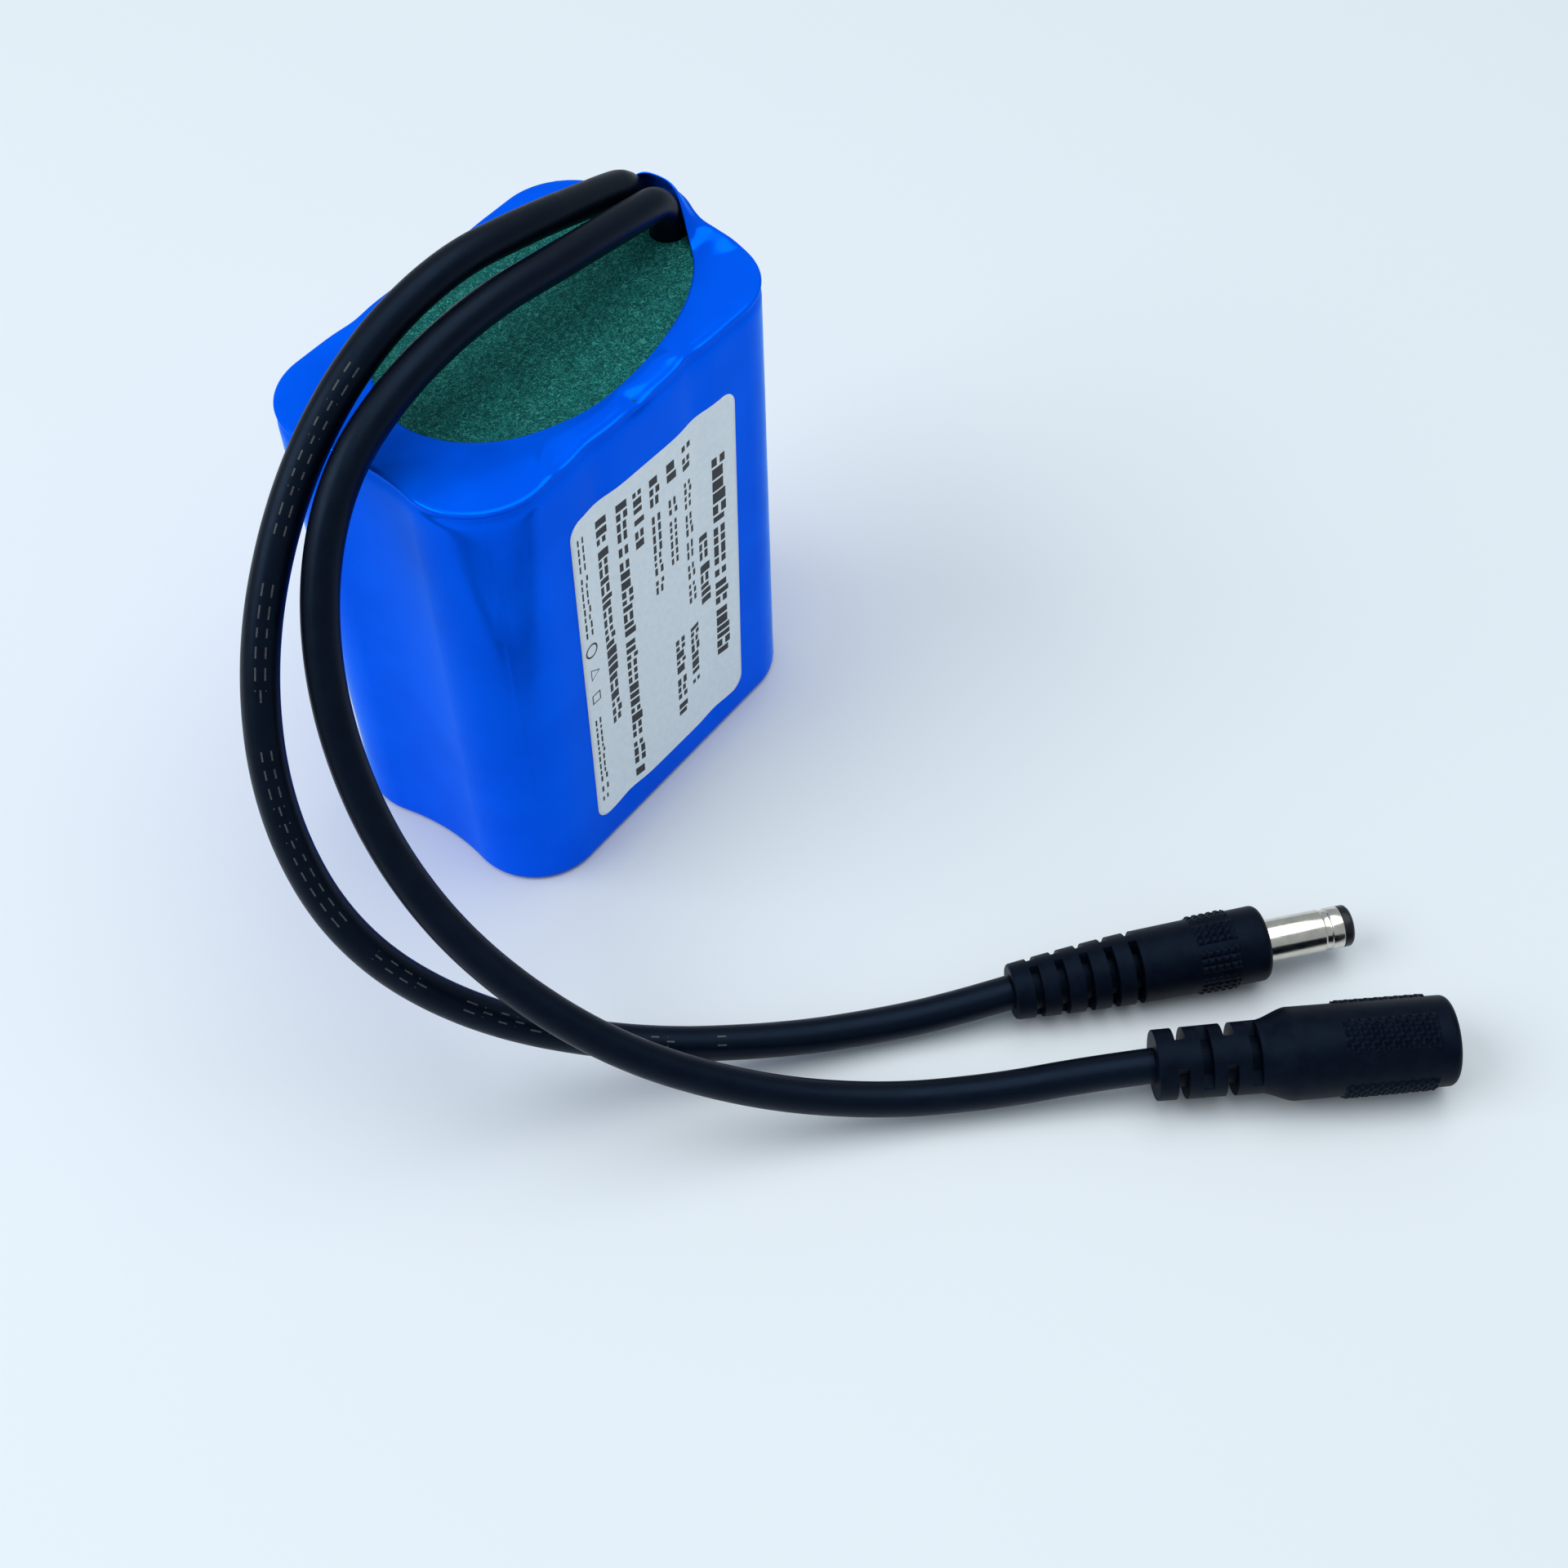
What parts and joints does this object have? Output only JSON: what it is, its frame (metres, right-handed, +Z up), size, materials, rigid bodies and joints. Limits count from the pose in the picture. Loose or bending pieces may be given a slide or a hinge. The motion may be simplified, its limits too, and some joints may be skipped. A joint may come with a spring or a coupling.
{
  "type": "battery pack",
  "caption": "Rechargeable cell pack in blue shrink film with a label, open green paper top, and two short cords: one ends in a barrel plug, the other in an inline barrel socket.",
  "frame": {"origin": "centre of the pack's base, on the surface it stands on", "axes": "+Z up along the upright cells; +X along the long side towards the end where both cords leave; -Y is the labelled face"},
  "size_m": [0.0906, 0.1489, 0.085],
  "materials": {
    "blue_film": "glossy heat-shrink film",
    "white_label": "satin printed label",
    "green_paper": "mottled barley paper",
    "fibre_board": "glass-fibre laminate",
    "grey_foam": "closed-cell foam pad",
    "cell_steel": "plated steel can",
    "cell_sleeve": "thin shrink sleeve",
    "cap_steel": "plated cap",
    "gasket_plastic": "insulating ring",
    "electrode_foil": "wound electrode",
    "hot_glue": "hot-melt bead",
    "nickel_strip": "spot-welded strip",
    "circuit_board": "solder-masked board",
    "fish_paper": "fish paper",
    "chip_plastic": "moulded chip",
    "passive_ceramic": "chip resistor and capacitor",
    "red_insulation": "red lead insulation",
    "black_insulation": "black lead insulation",
    "sense_insulation": "thin white lead insulation",
    "solder": "solder fillet",
    "cord_sheath": "smooth black cord sheath",
    "moulded_black": "satin moulded connector",
    "socket_black": "black socket plastic",
    "plated_metal": "nickel-plated brass"
  },
  "bodies": {
    "pack": {"black_cores": "black_insulation", "bms_board": "circuit_board", "bms_chips": "chip_plastic", "bms_insulation": "fish_paper", "bms_mosfets": "chip_plastic", "bms_passives": "passive_ceramic", "bottom_board": "fibre_board", "bottom_paper": "green_paper", "bottom_series_strip": "nickel_strip", "cell_1_can": "cell_steel", "cell_1_cap": "cap_steel", "cell_1_sleeve": "cell_sleeve", "cell_2_can": "cell_steel", "cell_2_cap": "cap_steel", "cell_2_sleeve": "cell_sleeve", "cell_3_can": "cell_steel", "cell_3_cap": "cap_steel", "cell_3_sleeve": "cell_sleeve", "cell_4_can": "cell_steel", "cell_4_cap": "cap_steel", "cell_4_sleeve": "cell_sleeve", "cell_5_can": "cell_steel", "cell_5_cap": "cap_steel", "cell_5_sleeve": "cell_sleeve", "cell_6_can": "cell_steel", "cell_6_cap": "cap_steel", "cell_6_sleeve": "cell_sleeve", "cell_gaskets": "gasket_plastic", "electrode_rolls": "electrode_foil", "foam_pad": "grey_foam", "glue_beads": "hot_glue", "high_sense_lead": "sense_insulation", "jack_centre_pin": "plated_metal", "jack_cord": "cord_sheath", "jack_moulding": "moulded_black", "jack_sleeve_tag": "plated_metal", "jack_socket": "socket_black", "label": "white_label", "low_sense_lead": "sense_insulation", "negative_strip": "nickel_strip", "plug_barrel": "plated_metal", "plug_cord": "cord_sheath", "plug_inner_contact": "plated_metal", "plug_insulator": "socket_black", "plug_moulding": "moulded_black", "positive_lead": "red_insulation", "positive_strip": "nickel_strip", "red_cores": "red_insulation", "shrink_wrap": "blue_film", "solder_joints": "solder", "top_board": "fibre_board", "top_paper": "green_paper", "top_series_strip": "nickel_strip"},
    "contact_leaf": {"jack_leaf_contact": "plated_metal"}
  },
  "joints": [
    {"name": "leaf_press", "type": "hinge", "parent": "pack", "child": "contact_leaf", "pos_m": [0.01399, -0.1168, 0.00699], "axis": [-0.2111, -0.1516, 0.9656], "range_deg": [0, 3], "stiffness_Nm_per_rad": 0.05}
  ]
}
